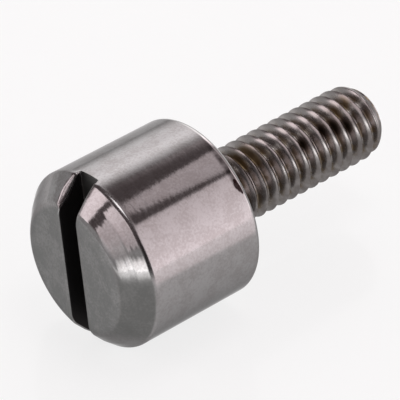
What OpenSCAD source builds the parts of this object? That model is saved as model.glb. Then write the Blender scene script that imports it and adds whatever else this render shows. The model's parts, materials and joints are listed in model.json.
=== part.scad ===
// Presser foot screw: a slotted cylindrical head and a threaded shank, turned from one bar of steel.
// It lies on the side of its head, with its axis along +X from the slotted face to the tip.
// The origin is on the axis, in the plane of the seat under the head.

/* [Head] */
// Diameter of the head
head_d = 8.4; // [7:0.1:12]
// Height of the head, from the slotted face to the seat
head_h = 7.15; // [4:0.05:12]
// Leg of the 45 degree bevel round the slotted face
head_bevel = 1.2; // [0.6:0.05:1.8]
// Radius that blends the slotted face into the bevel
face_round = 1; // [0.1:0.05:1.2]
// Radius that breaks the edge between the bevel and the side
edge_round = 0.3; // [0.05:0.05:0.5]
// Radius that breaks the edge between the side and the seat
seat_round = 0.3; // [0.1:0.05:0.6]

/* [Slot] */
// Width of the screwdriver slot
slot_w = 1.15; // [0.6:0.05:2]
// Depth of the slot below the face
slot_depth = 1.5; // [0.8:0.1:2.5]
// Turn of the slot about the axis, away from upright
slot_turn = -7.7; // [-90:0.1:90]

/* [Shank] */
// Outside diameter of the thread
shank_d = 3.57; // [3:0.01:5]
// Length from the seat to the tip
shank_l = 9.85; // [6:0.05:16]
// Radius that rounds the tip
tip_round = 1.2; // [0.6:0.1:3]
// How far the rounded tip draws in from the crests to its flat end
tip_drop = 0.43; // [0.1:0.01:0.6]
// Fillet where the shank meets the seat
neck_fillet = 0.2; // [0.05:0.05:0.4]

/* [Thread] */
// Distance from one turn to the next, 40 turns to the inch
thread_pitch = 0.635; // [0.5:0.005:0.8]
// Depth of the groove below the crests
thread_depth = 0.39; // [0.25:0.01:0.45]
// Width of the flat at the bottom of the groove
root_w = 0.1; // [0.05:0.01:0.15]
// Angle between the two flanks of the groove
flank_angle = 60; // [50:1:60]
// Plain shank between the seat and the end of the groove
plain_neck = 0.5; // [0.4:0.05:2]
// Turns over which the groove runs out of the shank
runout_turns = 0.75; // [0.5:0.05:1.5]
// Angle about the axis at which the groove would cross the seat
thread_turn = 88; // [0:0.5:360]

/* [Hidden] */

// Facets of a drawn circle
$fn = 96;
// Steps in a quarter turn of a small rounded edge
ROUND_STEPS = 8;
// Steps in one turn of the groove
GROOVE_STEPS = 30;
// How far a cutter reaches past the surface that it cuts
OVERCUT = 0.05;
STEEL = [0.66, 0.64, 0.64];

head_r = head_d / 2;
face_r = head_r - head_bevel;
shank_r = shank_d / 2;
root_r = shank_r - thread_depth;
tip_lean = acos(1 - tip_drop / tip_round);

// Points on an arc about c, from angle a to angle b
function arc(c, r, a, b) =
    let (steps = max(2, round(ROUND_STEPS * abs(b - a) / 90)))
    [for (i = [0 : steps]) let (t = a + (b - a) * i / steps) c + r * [cos(t), sin(t)]];

// Distance from a 135 degree corner to where its rounding starts
function corner_leg(r) = r * tan(22.5);

// Section of the turned blank, radius across and height along the axis, with the seat at height 0
function blank_section() =
    let (
        face_z = -head_h,
        bevel_z = face_z + head_bevel,
        face_start = face_r - corner_leg(face_round),
        side_start = bevel_z + corner_leg(edge_round)
    )
    concat(
        [[0, face_z]],
        arc([face_start, face_z + face_round], face_round, -90, -45),
        arc([head_r - edge_round, side_start], edge_round, -45, 0),
        arc([head_r - seat_round, -seat_round], seat_round, 0, 90),
        arc([shank_r + neck_fillet, neck_fillet], neck_fillet, 270, 180),
        arc([shank_r - tip_round, shank_l - tip_round * sin(tip_lean)], tip_round, 0, tip_lean),
        [[0, shank_l]]
    );

// Section of the groove cutter, radius across and offset along the axis
function groove_section() =
    let (
        out_r = shank_r + OVERCUT,
        out_w = root_w + 2 * (out_r - root_r) * tan(flank_angle / 2)
    )
    [[root_r, -root_w / 2], [out_r, -out_w / 2], [out_r, out_w / 2], [root_r, root_w / 2]];

// Angle about the axis at which the groove is at height z
function groove_angle(z) = thread_turn + 360 * z / thread_pitch;

// Outward shift of the cutter where the groove runs out, from 0 to clear of the shank
function runout_lift(turns_left) =
    let (t = max(0, 1 - turns_left / runout_turns))
    (thread_depth + OVERCUT) * t * t;

// The groove section at height z, turned to its place on the helix
function groove_ring(z) =
    let (
        a = groove_angle(z),
        lift = runout_lift((z - plain_neck) / thread_pitch)
    )
    [for (p = groove_section()) [(p.x + lift) * cos(a), (p.x + lift) * sin(a), z + p.y]];

// Two triangles for each side between one ring of points and the next, with a cap at each end
function tube_faces(rings, sides) =
    concat(
        [[for (i = [sides - 1 : -1 : 0]) i]],
        [for (k = [0 : rings - 2], i = [0 : sides - 1], half = [0, 1])
            let (
                j = (i + 1) % sides,
                low = k * sides,
                high = low + sides
            )
            half == 0 ? [low + i, high + j, high + i] : [low + i, low + j, high + j]],
        [[for (i = [0 : sides - 1]) (rings - 1) * sides + i]]
    );

// Blank turned about its own axis, tip upwards
module turned_blank() {
    rotate_extrude() polygon(blank_section());
}

// Cutter for the slot across the face
module slot_cutter() {
    length = head_d + 2 * OVERCUT;
    depth = slot_depth + OVERCUT;
    rotate(slot_turn)
        translate([-length / 2, -slot_w / 2, -head_h - OVERCUT])
            cube([length, slot_w, depth]);
}

// Cutter for the right-hand V groove, from its run-out near the seat to beyond the tip
module groove_cutter() {
    cut_l = shank_l + thread_pitch - plain_neck;
    rings = ceil(GROOVE_STEPS * cut_l / thread_pitch) + 1;
    sides = len(groove_section());
    points = [
        for (k = [0 : rings - 1])
            each groove_ring(plain_neck + k * thread_pitch / GROOVE_STEPS)
    ];
    polyhedron(points, tube_faces(rings, sides));
}

// The whole screw, laid on the side of its head
module presser_foot_screw() {
    color(STEEL)
        rotate([0, 90, 0])
            difference() {
                turned_blank();
                slot_cutter();
                groove_cutter();
            }
}

presser_foot_screw();
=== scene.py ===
"""The looks of a presser foot screw: its turned and plated surfaces, and a small studio to see it in."""

import json
import math
from types import SimpleNamespace
from typing import NamedTuple

import bmesh
import bpy
import numpy as np
from bpy.props import FloatProperty, FloatVectorProperty, IntProperty, PointerProperty
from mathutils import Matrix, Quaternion, Vector


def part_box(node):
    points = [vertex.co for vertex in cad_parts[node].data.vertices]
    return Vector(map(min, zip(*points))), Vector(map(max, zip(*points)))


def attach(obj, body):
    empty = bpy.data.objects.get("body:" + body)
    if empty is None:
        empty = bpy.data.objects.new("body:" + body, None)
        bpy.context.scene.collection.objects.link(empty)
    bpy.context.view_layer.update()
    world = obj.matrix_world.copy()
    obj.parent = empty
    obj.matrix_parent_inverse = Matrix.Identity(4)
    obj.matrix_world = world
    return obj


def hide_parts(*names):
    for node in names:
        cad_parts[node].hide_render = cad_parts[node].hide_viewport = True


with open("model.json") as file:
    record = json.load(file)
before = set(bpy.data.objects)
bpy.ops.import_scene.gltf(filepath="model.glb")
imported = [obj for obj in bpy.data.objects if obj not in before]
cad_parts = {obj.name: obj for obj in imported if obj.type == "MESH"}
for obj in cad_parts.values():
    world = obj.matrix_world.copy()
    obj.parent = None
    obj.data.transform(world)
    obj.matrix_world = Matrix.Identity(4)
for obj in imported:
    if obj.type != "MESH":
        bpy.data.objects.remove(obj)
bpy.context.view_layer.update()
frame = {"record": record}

bl_info = {
    "name": "Presser foot screw",
    "version": (1, 0, 0),
    "blender": (4, 5, 0),
    "location": "3D View > Sidebar > Screw",
    "description": "Dresses a presser foot screw in plated steel and sets it in a small studio",
    "category": "Object",
}

NODE = "presser_foot_screw"
BODY = "root"

# Meshes and shaders are worked out in millimetres, and meshes are stored in metres
MM = 0.001
NODE_LOW, NODE_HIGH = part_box(NODE)
MOUNTS = {mount["name"]: mount for mount in frame["record"]["mounts"]}
THREAD = MOUNTS["thread"]["dims"]


def length(name, text, default):
    """A property that holds a length in metres."""
    return FloatProperty(name=name, description=text, default=default, unit="LENGTH", precision=5)


def angle(name, text, degrees):
    """A property that holds an angle."""
    return FloatProperty(name=name, description=text, default=math.radians(degrees), subtype="ANGLE")


def share(name, text, default):
    """A property that holds a number from 0 to 1."""
    return FloatProperty(name=name, description=text, default=default, min=0, max=1, subtype="FACTOR")


def tint(name, text, default):
    """A property that holds a linear colour."""
    return FloatVectorProperty(
        name=name, description=text, default=default, size=3, min=0, max=1, subtype="COLOR"
    )


def number(name, text, default):
    """A property that holds a plain number, not below 0."""
    return FloatProperty(name=name, description=text, default=default, min=0)


class ScrewSizes(bpy.types.PropertyGroup):
    """Sizes of the turned screw."""

    head_radius: length("Head radius", "Radius of the head's side", NODE_HIGH.z)
    head_height: length("Head height", "From the slotted face to the seat", -NODE_LOW.x)
    head_bevel: length("Head bevel", "Leg of the bevel round the face", 1.2 * MM)
    face_round: length("Face round", "Radius between the face and the bevel", 1.0 * MM)
    edge_round: length("Edge round", "Radius between the bevel and the side", 0.3 * MM)
    seat_round: length("Seat round", "Radius between the side and the seat", 0.3 * MM)
    tool_line: length("Tool line", "Depth of the fine line that the tool left on the bevel", 0.002 * MM)
    bevel_break: length("Bevel break", "How far the bevel stands proud along that line", 0.03 * MM)
    slot_width: length("Slot width", "Width of the screwdriver slot", 1.15 * MM)
    slot_depth: length("Slot depth", "Depth of the slot below the face", 1.5 * MM)
    slot_turn: angle("Slot turn", "Turn of the slot about the axis, away from upright", -7.7)
    slot_edge: length("Slot edge", "Radius along the edges of the slot", 0.1 * MM)
    slot_wear: length(
        "Slot wear", "How much rounder one edge of the slot is at its upper end, on the bevel", 0.2 * MM
    )
    shank_radius: length("Shank radius", "Radius over the crests", THREAD["r_mm"] * MM)
    shank_length: length("Shank length", "From the seat to the tip", NODE_HIGH.x)
    tip_round: length("Tip round", "Radius that rounds the tip", 1.2 * MM)
    tip_drop: length("Tip drop", "How far the tip draws in from the crests to its flat end", 0.43 * MM)
    neck_fillet: length("Neck fillet", "Radius between the shank and the seat", 0.2 * MM)
    pitch: length("Pitch", "Distance from one turn of the thread to the next", 0.635 * MM)
    thread_depth: length("Thread depth", "Depth of the groove below the crests", 0.39 * MM)
    root_width: length("Root width", "Width of the bottom of the groove", 0.1 * MM)
    crest_round: length("Crest round", "Blend at the crests of the thread", 0.2 * MM)
    root_round: length("Root round", "Blend at the roots of the thread", 0.06 * MM)
    flank_angle: angle("Flank angle", "Angle between the two flanks", 60)
    thread_turn: angle("Thread turn", "Angle at which the groove would cross the seat", -2)
    plain_neck: length("Plain neck", "Plain shank between the seat and the groove", 0.5 * MM)
    runout_turns: number("Run-out", "Turns over which the groove runs out of the shank", 0.75)
    cheek_columns: IntProperty(name="Cheek columns", description="Faces round one cheek", default=66)
    slot_columns: IntProperty(name="Slot columns", description="Faces across a slot's end", default=6)


class ScrewFinish(bpy.types.PropertyGroup):
    """Colours and gloss of the plated steel."""

    plate: tint("Plate", "Bright nickel plate", (0.31, 0.305, 0.305))
    plate_dull: tint("Dull plate", "Plate under a thin film of oil", (0.26, 0.25, 0.248))
    # Painted shade: the face's colour is a darker copy of the plate, mottled by the film
    plate_face_shade: tint("Face plate", "Painted shade on the slotted face, a darker copy of the plate", (0.195, 0.198, 0.195))
    # Painted shade on the lower bevel; the tool's line takes the same dark colour
    bevel_dark: tint("Bevel plate", "Painted shade on the lower part of the bevel, also drawn along the tool's line", (0.15, 0.152, 0.148))
    # Painted highlight on the upper part of the rounded rear edge
    plate_rim_highlight: tint("Rim highlight", "Painted highlight along the upper part of the rear edge", (0.6, 0.59, 0.585))
    edge_tint: tint("Edge tint", "How much the plate reflects at a glancing angle", (0.55, 0.55, 0.55))
    thread_plate: tint("Thread plate", "Plate on the thread", (0.33, 0.315, 0.308))
    # Painted dark reflections: bands along the thread, placed by angle from the line that faces the camera
    thread_dark_reflection: tint("Thread dark reflection", "Painted dark reflections on the thread", (0.14, 0.125, 0.12))
    grime: tint("Grime", "Oily dirt in the roots of the thread", (0.15, 0.113, 0.068))
    rust: tint("Rust", "Brown stain round the black spots", (0.06, 0.03, 0.017))
    stain: tint("Stain", "Dark stain at the rear edge of the head", (0.012, 0.006, 0.006))
    tar: tint("Tar", "Spots of hard black dirt", (0.014, 0.01, 0.006))
    # Painted shade in the slot: near-black walls and a dark floor
    slot_wall_shade: tint("Slot black", "Painted shade on the walls of the slot", (0.03, 0.028, 0.028))
    slot_floor_shade: tint("Slot floor", "Painted shade on the floor of the slot", (0.15, 0.15, 0.145))
    gloss_roughness: share("Polished roughness", "Roughness of the polished side", 0.09)
    face_roughness: share("Face roughness", "Roughness of the slotted face", 0.17)
    thread_roughness: share("Thread roughness", "Roughness of the thread", 0.22)


class StudioSettings(bpy.types.PropertyGroup):
    """Floor, lights and camera."""

    floor_colour: tint("Floor", "Pale card under the screw", (0.86, 0.875, 0.87))
    floor_roughness: share("Floor roughness", "Roughness of the card's sheen", 0.14)
    card_white: share("Card white", "How much of the card the camera sees as plain white", 0.78)
    card_glow: share("Card glow", "How much of the card is plain white in reflections", 0.58)
    room_level: number("Room", "Brightness of the room near the horizon", 0.58)
    roof_level: number("Roof", "Brightness of the room overhead", 0.16)
    backdrop_level: number("Backdrop", "Brightness of the room as the camera sees it", 0.9)
    front_share: share("Front", "How much of the room's light comes from behind the camera", 0.1)
    room_colour: tint("Room colour", "Colour of the room", (1.0, 0.97, 0.975))
    roof_colour: tint("Roof colour", "Colour of the room overhead", (1.0, 0.8, 0.82))
    box_level: number("Soft boxes", "Brightness of all soft boxes together", 1.0)
    camera_azimuth: angle("Camera azimuth", "Where the camera stands, from the front", -41.1)
    camera_elevation: angle("Camera elevation", "Height of the camera above the horizon", 37.91)
    camera_distance: length("Camera distance", "From the camera to its aim", 0.14355)
    camera_aim: FloatVectorProperty(
        name="Camera aim",
        description="The point in the middle of the picture",
        default=(-0.00177, -0.00214, 0.0024),
        size=3,
        subtype="TRANSLATION",
        precision=5,
    )
    lens: number("Lens", "Focal length in millimetres", 300.5)


# Distance of most panels from the screw, in metres
BOX_DISTANCE = 0.15


class SoftBox(NamedTuple):
    """A lamp panel, placed and sized by the angles at which the screw sees it, in degrees."""

    azimuth: float
    elevation: float
    wide: float
    tall: float
    low: float
    high: float
    fade: float
    colour: tuple
    is_round: bool = False
    roll: float = 0.0
    distance: float = BOX_DISTANCE
    top_fade: float | None = None


# Azimuth goes from the front towards the right. Low and high are the radiance along the lower and the
# upper edge, where 1 is white. Fades are shares of the panel, and distance is in metres.
WHITE = (1.0, 0.97, 0.98)
PINK = (1.0, 0.88, 0.905)
ROSE = (1.0, 0.82, 0.85)
SOFT_BOXES = {
    "back_box": SoftBox(144, 25, 62, 62, 0.25, 2.75, 0.36, WHITE),
    "front_box": SoftBox(37, 22.3, 64, 55.6, 2.45, 1.1, 0.156, PINK, distance=0.45, top_fade=0.06),
    "top_box": SoftBox(80.6, 43.6, 38.6, 38.6, 0.0, 0.98, 0.03, PINK, True),
    "core_box": SoftBox(52, 82, 26, 26, 4.2, 4.2, 0.2, WHITE),
    "left_box": SoftBox(-123.3, 35, 24, 34, 2.0, 2.1, 0.04, PINK, roll=6),
    "side_box": SoftBox(-76.5, 27.5, 34, 44, 0.0, 2.0, 0.04, PINK, roll=6),
    "rim_box": SoftBox(116, 33, 18, 50, 1.0, 1.0, 0.3, PINK),
    "low_box": SoftBox(-54, 1.0, 30, 24, 4.8, 1.5, 0.28, WHITE),
}


class Bounce(NamedTuple):
    """A glowing panel that lies on the card, from near to far from the screw, in metres."""

    azimuth: float
    near: float
    far: float
    wide: float
    level: float
    fade: float
    colour: tuple


# Height of these panels above the card, in metres
BOUNCE_LIFT = 0.0001
BOUNCES = {
    "front_bounce": Bounce(30, 0.016, 0.45, 0.1, 0.54, 0.02, ROSE),
    "left_bounce": Bounce(-55, 0.03, 0.15, 0.06, 1.0, 0.2, WHITE),
    "back_bounce": Bounce(146, 0.010, 0.2, 0.08, 0.27, 0.08, WHITE),
}

# Radius of the card in metres, its grains to a metre, and how much paler than the card they are at most
CARD_RADIUS = 3.0
CARD_GRAIN = 900.0
CARD_PALER = 1.015
# Degrees above the horizon where the room starts to darken, and where its roof begins
ROOM_TOP = 15
ROOF_START = 30
# Where the room starts to dim towards the front, and where it is dim, as parts of a direction
DIM_START = -0.55
DIM_FULL = -0.85

# Least radius in shaders, in millimetres, so that nothing is divided by 0 on the axis
LEAST_RADIUS = 0.01
# Angle about the axis, from +Y towards +Z, of the line on the screw that faces the camera
FACING = math.radians(134)
# How far from a corner of 135 degrees its rounding starts, in radii of the rounding
CORNER = math.tan(math.radians(22.5))
# Place of the tool's line on the bevel, from 0 at the side to 1 at the face, and half its width
LINE_PLACE = 0.46
LINE_HALF_WIDTH = 0.018

# Places of dirt: millimetres from the seat, degrees from +Y towards +Z, and radius. Tar and grime are
# in the groove of the thread, and the head's spots are on its side, close to the rear edge.
TAR_SPOTS = (
    (5.31, 127, 0.34),
    (6.57, 122, 0.38),
    (7.21, 128, 0.42),
    (7.86, 137, 0.38),
)
HEAD_SPOTS = (
    (-0.38, 132.6, 0.17),
    (-0.4, 134.6, 0.23),
    (-0.35, 136.8, 0.2),
    (-0.29, 139.2, 0.13),
)
GRIME_SPOTS = (
    (2.0, 95, 0.8),
    (2.9, 100, 0.9),
    (7.7, 100, 0.6),
    (8.7, 95, 0.5),
)
# Where the head's spots are cut off and where they are whole, in millimetres from the seat
HEAD_SPOTS_END = (-0.2, -0.28)
# How much shorter spots are along the axis, and longer across it
SPOT_SQUEEZE = (1.4, 0.8, 0.8)
# How deep in the groove spots have their middle, as a share of its depth
SPOT_DEPTH = 0.6
# How far rust and tar reach, in radii of their spot
RUST_SPREAD = 1.6
TAR_SPREAD = 1.1
# How much of the plate grime, rust and tar hide at most
GRIME_MOST = 0.85
RUST_MOST = 0.85
TAR_MOST = 0.95

# Patches in degrees about the axis, down from the line that faces the camera: where one starts, is full,
# is full for the last time and ends, and how strong it is. The two on the thread are painted dark
# reflections; the other two darken the tool's line on the bevel and a strip by the rear edge.
UPPER_DARK_REFLECTION = (-28, -16, 0, 10, 0.35)
LOWER_DARK_REFLECTION = (18, 32, 70, 110, 0.85)
LINE_DARK = (-10, 4, 8, 30, 0.6)
RIM_DARK_STRIP = (-34, -20, -2, 4, 0.8)
# The same four places in millimetres, for the dark strip by the rear edge and for the painted shade on
# the lower part of the bevel
RIM_DARK_STRIP_ALONG = (-0.62, -0.42, -0.32, -0.24)
LOW_BEVEL_SHADE_UP = (-3.2, -1.6, 0.8, 2.4)
# Where the painted shade on the lower bevel and the painted highlight on the rear edge start and are
# full, across the screw
LOW_BEVEL_SHADE_ACROSS = (0.5, -1.0)
RIM_HIGHLIGHT_ACROSS = (-3.4, -2.2)

# Height of each kind of relief in millimetres, and what the bevel and the thread add to it
LINE_RELIEF = (0.00022, -0.0001, 0.0)
WAVE_RELIEF = (0.0016, 0.014, 0.0)
SPECK_RELIEF = (0.0014, -0.0008, -0.0004)


class Wire:
    """A socket of a node tree. Sums of wires and numbers add Math nodes."""

    def __init__(self, tree, socket=None):
        self.tree = tree
        self.socket = socket

    def node(self, kind, settings=None, inputs=None, output=0):
        """Add a node with its settings and its sockets' values or links, and give one of its outputs."""
        made = self.tree.nodes.new(kind)
        for name, value in (settings or {}).items():
            setattr(made, name, value)
        for name, value in (inputs or {}).items():
            if isinstance(value, Wire):
                self.tree.links.new(value.socket, made.inputs[name])
            else:
                made.inputs[name].default_value = value
        return Wire(self.tree, made.outputs[output] if made.outputs else None)

    def math(self, operation, *values):
        """A Math node on some wires and numbers."""
        return self.node("ShaderNodeMath", {"operation": operation}, dict(enumerate(values)))

    def __add__(self, other):
        return self.math("ADD", self, other)

    def __radd__(self, other):
        return self.math("ADD", other, self)

    def __sub__(self, other):
        return self.math("SUBTRACT", self, other)

    def __rsub__(self, other):
        return self.math("SUBTRACT", other, self)

    def __mul__(self, other):
        return self.math("MULTIPLY", self, other)

    def __rmul__(self, other):
        return self.math("MULTIPLY", other, self)

    def __truediv__(self, other):
        return self.math("DIVIDE", self, other)

    def __abs__(self):
        return self.math("ABSOLUTE", self)

    def ramp(self, start, end, low=0.0, high=1.0):
        """A smooth step from low, where this wire is at start, to high, where it is at end."""
        inputs = {"Value": self, "From Min": start, "From Max": end, "To Min": low, "To Max": high}
        return self.node("ShaderNodeMapRange", {"interpolation_type": "SMOOTHSTEP"}, inputs)

    def band(self, start, full, last, end):
        """A smooth band: 0 up to start, 1 from full to last, and 0 again from end."""
        return self.ramp(start, full) * self.ramp(end, last)

    def mix(self, first, second):
        """A colour that goes from first to second as this wire goes from 0 to 1."""
        inputs = {"Factor": self, 6: first, 7: second}
        return self.node("ShaderNodeMix", {"data_type": "RGBA"}, inputs, output=2)

    def parts(self):
        """The three parts of a vector."""
        return [self.node("ShaderNodeSeparateXYZ", None, {0: self}, axis) for axis in "XYZ"]


def opaque(colour):
    """The colour with an alpha of 1."""
    return (*colour, 1.0)


def empty_tree(owner):
    """The emptied node tree of a material, a lamp or a world."""
    owner.use_nodes = True
    owner.node_tree.nodes.clear()
    return Wire(owner.node_tree)


def in_mm(group):
    """The values of a property group by name, with lengths in millimetres."""
    values = {}
    for name in type(group).__annotations__:
        value = getattr(group, name)
        is_length = group.bl_rna.properties[name].unit == "LENGTH"
        values[name] = value / MM if is_length else value
    return SimpleNamespace(**values)


def bevel_radius(sizes, place):
    """Radius of the plain bevel at a place on it, from 0 at the side to 1 at the face."""
    slope = math.sqrt(0.5)
    outer = sizes.head_radius - sizes.edge_round * (1 - slope)
    inner = sizes.head_radius - sizes.head_bevel + sizes.face_round * (slope - CORNER)
    return outer + (inner - outer) * place


class SteelShader:
    """Polished plate with fine turning lines, a slot painted dark as shade, and dirt and painted dark
    reflections on the thread.

    Masks run from 0 to 1, and the lengths in them are millimetres. The noises lie mostly between
    0.3 and 0.7, so a ramp over one of them breaks a layer up into patches.
    """

    def __init__(self, finish, sizes):
        self.finish = finish
        self.sizes = sizes
        self.material = bpy.data.materials.new("plated_steel")
        self.start = empty_tree(self.material)
        metres = self.start.node("ShaderNodeTexCoord", output="Object")
        scaled = {0: metres, "Scale": 1 / MM}
        self.spot = metres.node("ShaderNodeVectorMath", {"operation": "SCALE"}, scaled)
        self.along, self.across, self.up = self.spot.parts()
        square = self.across * self.across + self.up * self.up
        distance = square.math("SQRT", square)
        self.radius = distance.math("MAXIMUM", distance, LEAST_RADIUS)
        ahead = self.across * math.cos(FACING) + self.up * math.sin(FACING)
        aside = self.up * math.cos(FACING) - self.across * math.sin(FACING)
        self.turn = aside.math("ARCTAN2", aside, ahead)
        self.lines = self.turned_noise(fine=14, around=1.4, detail=3)
        self.waves = self.turned_noise(fine=2.0, around=1.2, detail=1)
        self.specks = self.cloud(scale=5.5, detail=3)
        self.stains = self.cloud(scale=2.4, detail=4)

    def turned_noise(self, fine, around, detail):
        """Noise drawn out round the axis by turning, with fine features to a millimetre across it."""
        parts = {
            "X": (self.along + self.radius) * fine,
            "Y": self.across / self.radius * around,
            "Z": self.up / self.radius * around,
        }
        place = self.spot.node("ShaderNodeCombineXYZ", None, parts)
        return place.node("ShaderNodeTexNoise", None, {"Vector": place, "Scale": 1.0, "Detail": detail})

    def cloud(self, scale, detail):
        """Even noise with scale features to a millimetre."""
        inputs = {"Vector": self.spot, "Scale": scale, "Detail": detail}
        return self.spot.node("ShaderNodeTexNoise", None, inputs)

    def round_patch(self, patch):
        """How much of a patch there is at an angle about the axis."""
        *stops, strength = patch
        return self.turn.band(*[math.radians(stop) for stop in stops]) * strength

    def mark_head(self):
        """Masks of the face, the bevel and its line, the painted shade on the lower bevel, the bevel's
        edge, the painted highlight on the rear edge, and the dark strip by it.
        """
        sizes = self.sizes
        face_x = -sizes.head_height
        edge_x = face_x + sizes.head_bevel
        self.on_face = self.along.ramp(face_x + 0.15, face_x + 0.05)
        self.on_bevel = self.along.ramp(edge_x, edge_x - 0.1) * (1 - self.on_face)
        # Painted shade: the lower part of the bevel, towards the front, is darker
        self.low_bevel_shade = self.on_bevel * self.up.band(*LOW_BEVEL_SHADE_UP) * self.across.ramp(*LOW_BEVEL_SHADE_ACROSS)
        self.on_edge = self.along.band(edge_x - 0.14, edge_x - 0.04, edge_x + 0.14, edge_x + 0.3)
        # Darker along the tool's line, over part of the way round the bevel
        from_line = abs(self.radius - bevel_radius(sizes, LINE_PLACE))
        self.in_line = from_line.ramp(0.05, 0.015) * self.on_bevel * self.round_patch(LINE_DARK)
        # Painted highlight: brighter plate along the upper part of the rounded rear edge
        rear = self.along.ramp(-1.1 * sizes.seat_round, -0.7 * sizes.seat_round)
        outside = self.radius.ramp(sizes.head_radius - 0.5, sizes.head_radius - 0.3)
        self.on_rim_highlight = rear * outside * self.across.ramp(*RIM_HIGHLIGHT_ACROSS)
        # A dark strip just inside the rear edge, drawn in the stain's colour
        self.by_rim = self.along.band(*RIM_DARK_STRIP_ALONG) * self.round_patch(RIM_DARK_STRIP)

    def mark_slot(self):
        """Masks of the slot, its floor and its edges."""
        sizes = self.sizes
        turn = sizes.slot_turn
        half = sizes.slot_width / 2
        edge_x = sizes.head_bevel - sizes.head_height
        floor_x = sizes.slot_depth - sizes.head_height
        from_middle = abs(self.across * math.cos(turn) + self.up * math.sin(turn))
        above_floor = self.along.ramp(floor_x + 0.02, floor_x + 0.01)
        self.in_slot = from_middle.ramp(half + 0.012, half + 0.004) * above_floor
        self.on_slot_floor = self.along.ramp(floor_x - 0.06, floor_x - 0.03)
        on_top = self.along.ramp(edge_x, edge_x - 0.2)
        self.on_slot_edge = from_middle.ramp(half + 0.4, half + 0.15) * on_top

    def mark_thread(self):
        """Masks of the thread, the tip's flat end and the painted dark reflections, and the depth of a
        place in the groove.
        """
        crest = self.sizes.shank_radius
        root = crest - self.sizes.thread_depth
        self.on_thread = self.along.ramp(0.15, 0.3) * self.radius.ramp(crest + 0.25, crest + 0.05)
        self.on_tip = self.radius.ramp(root - 0.01, root - 0.06)
        self.depth = (crest - self.radius) / self.sizes.thread_depth
        # Painted dark reflections in bands about the axis
        self.dark_reflection_bands = self.round_patch(UPPER_DARK_REFLECTION) + self.round_patch(LOWER_DARK_REFLECTION)

    def near_spots(self, spots, radius, spread=1.0, core=0.2):
        """How near the surface is to some spots of dirt at a radius, from 0 to 1."""
        near = None
        for x, degrees, size in spots:
            turn = math.radians(degrees)
            place = (x, radius * math.cos(turn), radius * math.sin(turn))
            apart = {0: self.spot, 1: place}
            away = self.spot.node("ShaderNodeVectorMath", {"operation": "SUBTRACT"}, apart)
            squeezed = {0: away, 1: SPOT_SQUEEZE}
            away = away.node("ShaderNodeVectorMath", {"operation": "MULTIPLY"}, squeezed)
            away = away.node("ShaderNodeVectorMath", {"operation": "LENGTH"}, {0: away}, "Value")
            spot = away.ramp(size * spread, size * core)
            near = spot if near is None else near.math("MAXIMUM", near, spot)
        return near

    def paint(self, colour, layers):
        """The colour under some layers, each with its mask and its own colour."""
        for mask, tone in layers:
            colour = mask.mix(colour, opaque(tone))
        return colour

    def head_stain(self):
        """Mask of the black spots and the dark strip at the head's rear edge."""
        spots = self.near_spots(HEAD_SPOTS, self.sizes.head_radius, core=0.6)
        spots = spots * self.stains.ramp(0.2, 0.5, 0.85, 1.0) * self.along.ramp(*HEAD_SPOTS_END)
        strip = self.by_rim * self.stains.ramp(0.3, 0.6, 0.6, 1.0)
        return spots.math("MAXIMUM", spots, strip)

    def head_colour(self):
        """The plate on the head, with painted shade on the face and the lower bevel, a painted highlight
        on the rear edge, a darker tool line, and dirt.
        """
        finish = self.finish
        film = self.cloud(scale=1.3, detail=4) * 0.5 + self.cloud(scale=9, detail=3) * 0.5
        plate = film.ramp(0.4, 0.62).mix(opaque(finish.plate), opaque(finish.plate_dull))
        layers = (
            # Painted shade on the slotted face
            (self.on_face * film.ramp(0.35, 0.6, 0.55, 1.0), finish.plate_face_shade),
            # Painted shade on the lower part of the bevel
            (self.low_bevel_shade * film.ramp(0.35, 0.6, 0.8, 1.0), finish.bevel_dark),
            (self.in_line, finish.bevel_dark),
            # Painted highlight on the rear edge
            (self.on_rim_highlight, finish.plate_rim_highlight),
            (self.head_stain(), finish.stain),
        )
        return self.paint(plate, layers)

    def thread_colour(self, colour):
        """The colour under the thread's own plate, its painted dark reflections and its dirt."""
        finish = self.finish
        stains = self.stains
        groove = self.sizes.shank_radius - SPOT_DEPTH * self.sizes.thread_depth
        round_shank = self.on_thread * (1 - self.on_tip)
        # Painted dark reflections on the thread, in bands about the axis and broken up by the stains noise
        oil = round_shank * self.dark_reflection_bands * stains.ramp(0.3, 0.6, 0.5, 1.0)
        grime = self.depth.ramp(0.25, 0.95) * stains.ramp(0.4, 0.62, 0.1, 0.8)
        grime = grime + self.near_spots(GRIME_SPOTS, groove) * self.depth.ramp(-0.3, 0.5) * GRIME_MOST
        self.grime = round_shank * grime.math("MINIMUM", grime, 1.0)
        rust = self.near_spots(TAR_SPOTS, groove, RUST_SPREAD) * self.depth.ramp(-0.2, 0.3) * RUST_MOST
        tar = self.near_spots(TAR_SPOTS, groove, TAR_SPREAD) * self.depth.ramp(0.0, 0.4)
        tar = tar * (0.6 + stains * 0.7)
        self.tar = tar.math("MINIMUM", tar, TAR_MOST)
        layers = (
            (self.on_thread, finish.thread_plate),
            # Painted dark reflections
            (oil, finish.thread_dark_reflection),
            (self.grime, finish.grime),
            (rust, finish.rust),
            (self.tar, finish.tar),
        )
        return self.paint(colour, layers)

    def roughness(self):
        """Roughness of the polished plate, and what each mask and noise adds to it."""
        finish = self.finish
        gloss = finish.gloss_roughness
        rougher = (
            (self.on_face, finish.face_roughness - gloss),
            (self.on_thread, finish.thread_roughness - gloss),
            (self.in_slot, 0.3),
            (self.on_edge, 0.12),
            (self.on_slot_edge, 0.15),
            (self.lines - 0.5, 0.06),
            (self.specks - 0.5, 0.08),
            (self.grime, 0.15),
            (self.tar, 0.3),
        )
        rough = gloss
        for mask, amount in rougher:
            rough = rough + mask * amount
        return rough

    def height(self, noise, relief):
        """The height of a noise with one kind of relief, in millimetres."""
        plain, bevel, thread = relief
        return noise * (plain + self.on_bevel * bevel + self.on_thread * thread)

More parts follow.
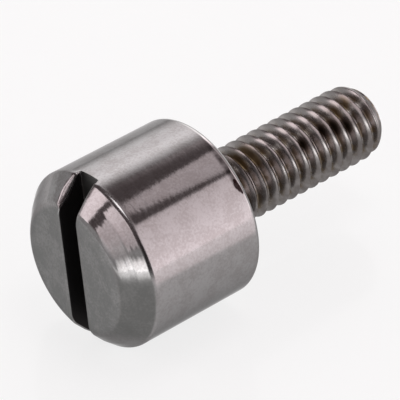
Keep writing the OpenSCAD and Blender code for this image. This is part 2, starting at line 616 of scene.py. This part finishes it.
    def build(self):
        """The finished material."""
        finish = self.finish
        self.mark_head()
        self.mark_slot()
        self.mark_thread()
        colour = self.thread_colour(self.head_colour())
        # Painted shade inside the slot
        slot_shade_colour = self.on_slot_floor.mix(opaque(finish.slot_wall_shade), opaque(finish.slot_floor_shade))
        relief = self.height(self.lines, LINE_RELIEF) + self.height(self.waves, WAVE_RELIEF)
        relief = relief + self.height(self.specks, SPECK_RELIEF)
        bump = {"Strength": 1.0, "Distance": MM, "Height": relief}
        sockets = {
            "Base Color": self.in_slot.mix(colour, slot_shade_colour),
            "Metallic": 1.0,
            "Roughness": self.roughness(),
            "Specular Tint": opaque(finish.edge_tint),
            "Normal": self.start.node("ShaderNodeBump", None, bump),
        }
        shader = self.start.node("ShaderNodeBsdfPrincipled", None, sockets)
        self.start.node("ShaderNodeOutputMaterial", None, {"Surface": shader})
        return self.material


def floor_material(studio):
    """Smooth pale card with a faint grain and a soft sheen, shown whiter than the lamps make it."""
    material = bpy.data.materials.new("pale_card")
    start = empty_tree(material)
    spot = start.node("ShaderNodeTexCoord", output="Object")
    grain = start.node("ShaderNodeTexNoise", None, {"Vector": spot, "Scale": CARD_GRAIN, "Detail": 3.0})
    colour = studio.floor_colour
    paler = [min(1.0, part * CARD_PALER) for part in colour]
    shade = grain.ramp(0.3, 0.7).mix(opaque(colour), opaque(paler))
    sockets = {"Base Color": shade, "Roughness": studio.floor_roughness}
    card = start.node("ShaderNodeBsdfPrincipled", None, sockets)
    white = start.node("ShaderNodeEmission", None, {"Color": opaque((1.0, 1.0, 1.0)), "Strength": 1.0})
    kinds = ("Is Camera Ray", "Is Glossy Ray", "Is Transmission Ray")
    camera, glossy, through = [start.node("ShaderNodeLightPath", output=kind) for kind in kinds]
    shown = camera * studio.card_white + (glossy + through) * studio.card_glow
    shader = start.node("ShaderNodeMixShader", None, {0: shown, 1: card, 2: white})
    start.node("ShaderNodeOutputMaterial", None, {"Surface": shader})
    return material


def arc(centre, radius, start, end, steps):
    """Points on an arc of a section: axial place, radius, and lean in degrees towards the tip."""
    points = []
    for lean in np.linspace(start, end, steps + 1):
        turn = math.radians(lean)
        points.append((centre[0] + radius * math.sin(turn), centre[1] + radius * math.cos(turn), lean))
    return points


def soft_min(a, b, width):
    """The smaller of two lengths, blended over width where they are close."""
    blend = max(0.0, 1 - abs(a - b) / width)
    return min(a, b) - blend * blend * width / 4


def soft_max(a, b, width):
    """The larger of two lengths, blended over width where they are close."""
    return -soft_min(-a, -b, width)


class ScrewMesh:
    """Points and faces of the screw, in millimetres, gathered in rings round the X axis."""

    # Width of the narrow rows that keep flat and round surfaces apart in the shading
    NEAR = 0.01
    # Faces across the rounded edge of the slot
    EDGE_STEPS = 4
    # How far the groove lifts where it runs out, in depths of the thread
    RUNOUT_LIFT = 1.15
    # How far before its flat end the rows of the thread stop
    TIP_MARGIN = 0.03

    def __init__(self, sizes):
        self.sizes = sizes
        self.points = []
        self.faces = []
        self.half_slot = sizes.slot_width / 2
        self.columns = sizes.cheek_columns + sizes.slot_columns
        self.angles = self.ring_angles()
        self.crest_lift = self.find_crest_lift()

    def ring_angles(self):
        """Angles of a whole ring, with columns at the edges of the slot."""
        sizes = self.sizes
        reach = math.acos(self.half_slot / sizes.head_radius)
        cheek = np.linspace(-reach, reach, sizes.cheek_columns + 1)
        end = np.linspace(reach, math.pi - reach, sizes.slot_columns + 1)
        half_ring = np.concatenate([cheek, end[1:-1]]) + sizes.slot_turn
        return list(half_ring) + list(half_ring + math.pi)

    def find_crest_lift(self):
        """How far above the crests the blend has to aim, so that they come out at their radius."""
        sizes = self.sizes
        peak = (sizes.pitch - sizes.root_width) / 2 / math.tan(sizes.flank_angle / 2) - sizes.thread_depth
        lifts = np.linspace(0, sizes.crest_round / 2, 401)
        enough = [lift for lift in lifts if soft_min(peak, lift, sizes.crest_round) >= 0]
        return float(enough[0] if enough else lifts[-1])

    def point(self, x, radius, turn):
        """Add a point and give its number."""
        self.points.append((x, radius * math.cos(turn), radius * math.sin(turn)))
        return len(self.points) - 1

    def face(self, *corners):
        """Add a face, leaving out corners that coincide."""
        kept = [corner for i, corner in enumerate(corners) if corner != corners[i - 1]]
        if len(kept) > 2:
            self.faces.append(kept)

    def ring(self, x, radius):
        """A whole ring of points."""
        return [self.point(x, radius, turn) for turn in self.angles]

    def rings(self, last, section):
        """Rings for the points of a section, joined on to the last ring. Gives the final one."""
        for x, radius, *_ in section:
            ring = self.ring(x, radius)
            for i in range(len(ring)):
                self.face(last[i - 1], last[i], ring[i], ring[i - 1])
            last = ring
        return last

    def cheek_section(self):
        """Axial place, radius and lean up one cheek, from the slot's floor to near the slot's edge."""
        sizes = self.sizes
        face_x = -sizes.head_height
        face_edge = sizes.head_radius - sizes.head_bevel - sizes.face_round * CORNER
        side_edge = face_x + sizes.head_bevel + sizes.edge_round * CORNER
        side = [(side_edge + self.NEAR, sizes.head_radius, 0)]
        side += arc((side_edge, sizes.head_radius - sizes.edge_round), sizes.edge_round, 0, -45, steps=8)
        shoulder = arc((face_x + sizes.face_round, face_edge), sizes.face_round, -45, -90, steps=12)
        bevel = self.bevel_section(side[-1], shoulder[0])
        peak = self.half_slot + sizes.slot_edge
        flat = [(face_x, radius, -90) for radius in np.linspace(face_edge - self.NEAR, peak, 14)]
        return side + bevel + shoulder + flat

    def bevel_section(self, outer, inner):
        """Points along the bevel, with the fine line that the tool left part way across."""
        half = LINE_HALF_WIDTH / math.dist(outer[:2], inner[:2])
        line = [LINE_PLACE + step * half for step in (-2, -1, 0, 1, 2)]
        points = []
        for stop in [0.02, 0.15, 0.3, *line, 0.6, 0.72, 0.85, 0.98]:
            rise = stop / LINE_PLACE if stop < LINE_PLACE else (1 - stop) / (1 - LINE_PLACE)
            sink = self.sizes.tool_line if stop == LINE_PLACE else 0
            sink = (sink - self.sizes.bevel_break * rise) * math.sqrt(0.5)
            x = outer[0] + (inner[0] - outer[0]) * stop + sink
            radius = outer[1] + (inner[1] - outer[1]) * stop - sink
            points.append((x, radius, -45))
        return points

    def add_cheek(self, side, ring):
        """One cheek of the head, from its part of the ring at the slot's floor to the slot's edge."""
        first = side * self.columns
        base = ring[first:first + self.sizes.cheek_columns + 1]
        rows = [[base[0]] * self.EDGE_STEPS + base + [base[-1]] * self.EDGE_STEPS]
        for x, radius, lean in self.cheek_section():
            rows.append(self.cheek_row(side, x, radius, math.radians(lean)))
        for low, high in zip(rows, rows[1:]):
            for i in range(len(low) - 1):
                self.face(low[i], low[i + 1], high[i + 1], high[i])
        self.add_wall(rows)

    def cheek_row(self, side, x, radius, lean):
        """Points across one cheek at x, with the rounded edge of the slot at both ends."""
        middle = self.sizes.slot_turn + side * math.pi
        edges = (self.sizes.slot_edge, self.edge_at(side, radius))
        reaches = [math.acos(min(1.0, (self.half_slot + edge) / radius)) for edge in edges]
        if min(reaches) < 1e-6:
            end = self.slot_rounding(middle, x, 0, (-1, 0), edges[0])
            peak = self.point(x, radius, middle)
            return end[::-1] + [peak] * (self.sizes.cheek_columns + 1) + end
        roundings = []
        for sign, edge, reach in zip((-1, 1), edges, reaches):
            outward = Vector((math.sin(lean), sign * math.cos(lean) * math.sin(reach))).normalized()
            roundings.append(self.slot_rounding(middle, x, sign * radius * math.sin(reach), outward, edge))
        turns = np.linspace(-reaches[0], reaches[1], self.sizes.cheek_columns + 1)
        row = [self.point(x, radius, middle + turn) for turn in turns]
        return roundings[0][::-1] + row + roundings[1]

    def edge_at(self, side, radius):
        """Radius of the slot's edge at one end of a cheek, at a distance from the axis."""
        sizes = self.sizes
        inner = sizes.head_radius - sizes.head_bevel
        part = min(1.0, max(0.0, (radius - inner) / sizes.head_bevel))
        worn = math.sin(math.pi * part)
        return sizes.slot_edge + (sizes.slot_wear * worn if side == 0 else 0)

    def slot_rounding(self, middle, x, height, outward, edge):
        """Points of a quarter round from a cheek into the slot, at a height along the slot."""
        centre_x, centre_height = x - edge * outward[0], height - edge * outward[1]
        numbers = []
        for step in range(1, self.EDGE_STEPS + 1):
            turn = math.pi / 2 * step / self.EDGE_STEPS
            away = self.half_slot + edge * (1 - math.sin(turn))
            along = centre_height + edge * math.cos(turn) * outward[1]
            place = (
                centre_x + edge * math.cos(turn) * outward[0],
                away * math.cos(middle) - along * math.sin(middle),
                away * math.sin(middle) + along * math.cos(middle),
            )
            self.points.append(place)
            numbers.append(len(self.points) - 1)
        return numbers

    def add_wall(self, rows):
        """The wall of the slot, in strips up to the face and one last strip along the face's edge."""
        top_x = self.sizes.slot_edge - self.sizes.head_height
        deep = [row for row in rows if self.points[row[0]][0] > top_x + 1e-6]
        flat = rows[len(deep):]
        for low, high in zip(deep, deep[1:]):
            self.face(low[0], high[0], high[-1], low[-1])
        left = [row[0] for row in flat]
        right = [row[-1] for row in reversed(flat)]
        self.face(deep[-1][0], *left, *right, deep[-1][-1])

    def add_head(self):
        """The head: two cheeks, the slot's floor, the side and the seat. Gives the ring at the neck."""
        sizes = self.sizes
        floor = self.ring(sizes.slot_depth - sizes.head_height, sizes.head_radius)
        ends = []
        for side in (0, 1):
            self.add_cheek(side, floor)
            start = side * self.columns + sizes.cheek_columns
            ends += [floor[(start + i) % len(floor)] for i in range(sizes.slot_columns + 1)]
        self.face(*ends)
        return self.rings(floor, self.seat_section())

    def seat_section(self):
        """Axial place and radius from the slot's floor, down the side, over the seat, into the neck."""
        sizes = self.sizes
        floor_x = sizes.slot_depth - sizes.head_height
        side_places = np.linspace(floor_x + self.NEAR, -sizes.seat_round - self.NEAR, 12)
        side = [(x, sizes.head_radius) for x in side_places]
        rim = sizes.head_radius - sizes.seat_round
        edge = arc((-sizes.seat_round, rim), sizes.seat_round, 0, 90, steps=12)
        neck = sizes.shank_radius + sizes.neck_fillet
        seat = [(0, radius) for radius in np.linspace(rim - self.NEAR, neck + self.NEAR, 6)]
        fillet = arc((sizes.neck_fillet, neck), sizes.neck_fillet, 270, 180, steps=6)
        return side + edge + seat + fillet

    def groove_phases(self):
        """Places across one pitch, crest to crest, as shares of the pitch from the groove's middle."""
        sizes = self.sizes
        half_root = sizes.root_width / 2
        flank = sizes.thread_depth * math.tan(sizes.flank_angle / 2)
        crest = sizes.pitch / 2
        steps = [0.6 * half_root, half_root]
        steps += [half_root + flank * part for part in (0.1, 0.25, 0.45, 0.62, 0.74, 0.83, 0.92, 1.0)]
        steps += [(half_root + flank) * (1 - part) + crest * part for part in (0.33, 0.67)]
        places = [-step for step in reversed(steps)] + [0] + steps + [crest]
        return [place / sizes.pitch for place in places]

    def shank_surface(self, x, phase):
        """Radius of the threaded shank at x, where the groove's middle is phase pitches before it."""
        sizes = self.sizes
        from_middle = abs(phase) * sizes.pitch
        root = sizes.shank_radius - sizes.thread_depth
        flank = root + (from_middle - sizes.root_width / 2) / math.tan(sizes.flank_angle / 2)
        turns = (x - sizes.plain_neck) / sizes.pitch - phase
        fading = max(0.0, 1 - turns / sizes.runout_turns)
        lift = sizes.thread_depth * self.RUNOUT_LIFT * fading * fading
        radius = soft_max(flank, root, sizes.root_round) + lift
        if turns < 0:
            radius = sizes.head_radius
        radius = soft_min(radius, sizes.shank_radius + self.crest_lift, sizes.crest_round)
        radius = min(radius, sizes.shank_radius)
        return soft_min(radius, self.tip_radius(x), sizes.root_round)

    def tip_radius(self, x):
        """Radius of the rounded tip at x."""
        sizes = self.sizes
        lean = math.acos(1 - sizes.tip_drop / sizes.tip_round)
        into = x - sizes.shank_length + sizes.tip_round * math.sin(lean)
        if into < 0:
            return sizes.head_radius
        return sizes.shank_radius - sizes.tip_round + math.sqrt(sizes.tip_round ** 2 - into ** 2)

    def add_shank(self, neck):
        """The thread, in rows that follow the helix, from the ring at the neck to the tip."""
        sizes = self.sizes
        start_x = sizes.neck_fillet
        end_x = sizes.shank_length - self.TIP_MARGIN
        phases = self.groove_phases()
        turns = [(turn - sizes.thread_turn) / (2 * math.pi) for turn in self.angles]
        first_turn = math.floor(start_x / sizes.pitch - turns[0]) - 2
        last_turn = math.ceil(end_x / sizes.pitch - turns[0]) + 1
        end = self.ring(end_x, self.shank_surface(end_x, 0.5))
        grid = []
        for i, turn in enumerate(turns):
            column = []
            for k in range(first_turn, last_turn):
                for phase in phases:
                    x = sizes.pitch * (k + phase + turn)
                    if x < start_x + self.NEAR / 2:
                        column.append(neck[i])
                    elif x > end_x - self.NEAR / 2:
                        column.append(end[i])
                    else:
                        column.append(self.point(x, self.shank_surface(x, phase), self.angles[i]))
            grid.append(column)
        grid.append(grid[0][len(phases):] + [end[0]] * len(phases))
        for column, following in zip(grid, grid[1:]):
            for row in range(len(column) - 1):
                self.face(column[row], following[row], following[row + 1], column[row + 1])
        tip = self.rings(end, self.tip_section())
        self.faces.append(tip)

    def tip_section(self):
        """Axial place and radius over the broken edge of the flat end, to near its middle."""
        end_x = self.sizes.shank_length
        rim = self.sizes.shank_radius - self.sizes.tip_drop
        edge = [(end_x - 0.006, rim - 0.004), (end_x, rim - 0.02)]
        return edge + [(end_x, rim * part) for part in (0.95, 0.7, 0.4, 0.1)]

    def build(self, name):
        """The whole screw as one closed mesh, in metres."""
        self.add_shank(self.add_head())
        shape = bmesh.new()
        points = [shape.verts.new(point) for point in self.points]
        for corners in self.faces:
            shape.faces.new([points[corner] for corner in corners])
        bmesh.ops.recalc_face_normals(shape, faces=shape.faces)
        bmesh.ops.scale(shape, vec=(MM, MM, MM), verts=shape.verts)
        open_edges = [edge for edge in shape.edges if len(edge.link_faces) != 2]
        loose = [point for point in shape.verts if not point.link_faces]
        if open_edges or loose:
            raise RuntimeError(f"{name}: {len(open_edges)} open edges, {len(loose)} loose points")
        mesh = bpy.data.meshes.new(name)
        shape.to_mesh(mesh)
        shape.free()
        mesh.shade_smooth()
        mesh.set_sharp_from_angle(angle=math.radians(30))
        return mesh


def direction(azimuth, elevation):
    """Unit vector from the screw: azimuth from the front to the right, elevation above the horizon."""
    flat = math.cos(elevation)
    return Vector((flat * math.sin(azimuth), -flat * math.cos(azimuth), math.sin(elevation)))


def put(name, data):
    """A new object in the scene."""
    made = bpy.data.objects.new(name, data)
    bpy.context.scene.collection.objects.link(made)
    return made


def add_panel(name, size, low, high, fade, colour, is_round=False, top_fade=None):
    """A lamp panel with fading edges, which the camera itself doesn't see."""
    lamp = bpy.data.lights.new(name, "AREA")
    lamp.shape = "RECTANGLE"
    lamp.size, lamp.size_y = size
    lamp.energy = math.pi * lamp.size * lamp.size_y
    start = empty_tree(lamp)
    across, up, _ = start.node("ShaderNodeNewGeometry", output="Parametric").parts()
    aside, above = across - 0.5, up - 0.5
    if is_round:
        square = aside * aside + above * above
        shape = square.math("SQRT", square).ramp(0.5, 0.5 - fade)
    else:
        top_fade = fade if top_fade is None else top_fade
        shape = abs(aside).ramp(0.5, 0.5 - fade) * above.ramp(-0.5, fade - 0.5)
        shape = shape * above.ramp(0.5, 0.5 - top_fade)
    strength = (low + up * (high - low)) * shape
    shader = start.node("ShaderNodeEmission", None, {"Color": opaque(colour), "Strength": strength})
    start.node("ShaderNodeOutputLight", None, {"Surface": shader})
    holder = put(name, lamp)
    holder.rotation_mode = "QUATERNION"
    holder.visible_camera = False
    return holder


def add_softbox(name, box, level):
    """A lamp panel at some distance, facing the screw."""
    size = [2 * box.distance * math.tan(math.radians(side / 2)) for side in (box.wide, box.tall)]
    low, high = box.low * level, box.high * level
    holder = add_panel(name, size, low, high, box.fade, box.colour, box.is_round, box.top_fade)
    towards = direction(math.radians(box.azimuth), math.radians(box.elevation))
    holder.location = towards * box.distance
    roll = Quaternion((0, 0, 1), math.radians(box.roll))
    holder.rotation_quaternion = towards.to_track_quat("Z", "Y") @ roll


def add_bounce(name, bounce, level):
    """A lamp panel that lies on the card, facing up."""
    size = (bounce.wide, bounce.far - bounce.near)
    glow = bounce.level * level
    holder = add_panel(name, size, glow, glow, bounce.fade, bounce.colour)
    turn = math.radians(bounce.azimuth)
    holder.location = direction(turn, 0) * (bounce.near + bounce.far) / 2
    holder.location.z = NODE_LOW.z + BOUNCE_LIFT
    face_up = Quaternion((1, 0, 0), math.pi)
    holder.rotation_quaternion = Quaternion((0, 0, 1), turn) @ face_up


class SCREW_OT_turn(bpy.types.Operator):
    """Turn the screw from its sizes and plate it"""

    bl_idname = "screw.turn"
    bl_label = "Turn the screw"

    def execute(self, context):
        sizes = in_mm(context.scene.screw_sizes)
        mesh = ScrewMesh(sizes).build("screw")
        mesh.materials.append(SteelShader(context.scene.screw_finish, sizes).build())
        piece = put("screw", mesh)
        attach(piece, BODY)
        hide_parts(NODE)
        return {"FINISHED"}


class SCREW_OT_stage(bpy.types.Operator):
    """Lay the floor, set the lights and place the camera"""

    bl_idname = "screw.stage"
    bl_label = "Set the stage"

    def execute(self, context):
        studio = context.scene.screw_studio
        self.lay_floor(studio)
        self.light_room(studio)
        for name, box in SOFT_BOXES.items():
            add_softbox(name, box, studio.box_level)
        for name, bounce in BOUNCES.items():
            add_bounce(name, bounce, studio.box_level)
        self.place_camera(studio)
        context.scene.view_settings.view_transform = "Standard"
        return {"FINISHED"}

    def lay_floor(self, studio):
        """A broad round sheet of card under the screw."""
        shape = bmesh.new()
        bmesh.ops.create_circle(shape, cap_ends=True, radius=CARD_RADIUS, segments=64)
        bmesh.ops.translate(shape, vec=(0, 0, NODE_LOW.z), verts=shape.verts)
        mesh = bpy.data.meshes.new("floor")
        shape.to_mesh(mesh)
        shape.free()
        mesh.materials.append(floor_material(studio))
        put("floor", mesh)

    def light_room(self, studio):
        """A dim room, darker overhead and behind the camera."""
        world = bpy.data.worlds.new("room")
        bpy.context.scene.world = world
        start = empty_tree(world)
        _, depth, height = start.node("ShaderNodeTexCoord", output="Generated").parts()
        low, high = [math.sin(math.radians(degrees)) for degrees in (ROOM_TOP, ROOF_START)]
        bright = height.ramp(low, high, studio.room_level, studio.roof_level)
        bright = bright * depth.ramp(DIM_START, DIM_FULL, 1.0, studio.front_share)
        camera = start.node("ShaderNodeLightPath", output="Is Camera Ray")
        bright = bright + camera * (studio.backdrop_level - bright)
        colour = height.ramp(low, high).mix(opaque(studio.room_colour), opaque(studio.roof_colour))
        sockets = {"Color": colour, "Strength": bright}
        shader = start.node("ShaderNodeBackground", None, sockets)
        start.node("ShaderNodeOutputWorld", None, {"Surface": shader})

    def place_camera(self, studio):
        """The camera, at the angle and distance from which the screw was seen."""
        camera = bpy.data.cameras.new("camera")
        camera.lens = studio.lens
        camera.sensor_width = 36
        camera.clip_start = 0.01
        camera.clip_end = 20
        holder = put("camera", camera)
        back = direction(studio.camera_azimuth, studio.camera_elevation)
        holder.location = Vector(studio.camera_aim) + back * studio.camera_distance
        holder.rotation_mode = "QUATERNION"
        holder.rotation_quaternion = back.to_track_quat("Z", "Y")
        bpy.context.scene.camera = holder


class SCREW_PT_panel(bpy.types.Panel):
    """The screw's settings, in the sidebar"""

    bl_idname = "SCREW_PT_panel"
    bl_label = "Presser foot screw"
    bl_space_type = "VIEW_3D"
    bl_region_type = "UI"
    bl_category = "Screw"

    def draw(self, context):
        scene = context.scene
        groups = {
            SCREW_OT_turn: (scene.screw_sizes, scene.screw_finish),
            SCREW_OT_stage: (scene.screw_studio,),
        }
        for operator, settings in groups.items():
            box = self.layout.box()
            for group in settings:
                for name in type(group).__annotations__:
                    box.prop(group, name)
            box.operator(operator.bl_idname)


CLASSES = (ScrewSizes, ScrewFinish, StudioSettings, SCREW_OT_turn, SCREW_OT_stage, SCREW_PT_panel)
GROUPS = {"screw_sizes": ScrewSizes, "screw_finish": ScrewFinish, "screw_studio": StudioSettings}


def register():
    """Make the add-on's classes and settings known to Blender."""
    for item in CLASSES:
        bpy.utils.register_class(item)
    for name, group in GROUPS.items():
        setattr(bpy.types.Scene, name, PointerProperty(type=group))


def unregister():
    """Take the add-on's settings and classes away again."""
    for name in GROUPS:
        delattr(bpy.types.Scene, name)
    for item in reversed(CLASSES):
        bpy.utils.unregister_class(item)


def main():
    """Build the screw and its stage."""
    register()
    bpy.ops.screw.turn()
    bpy.ops.screw.stage()


if __name__ == "__main__":
    main()
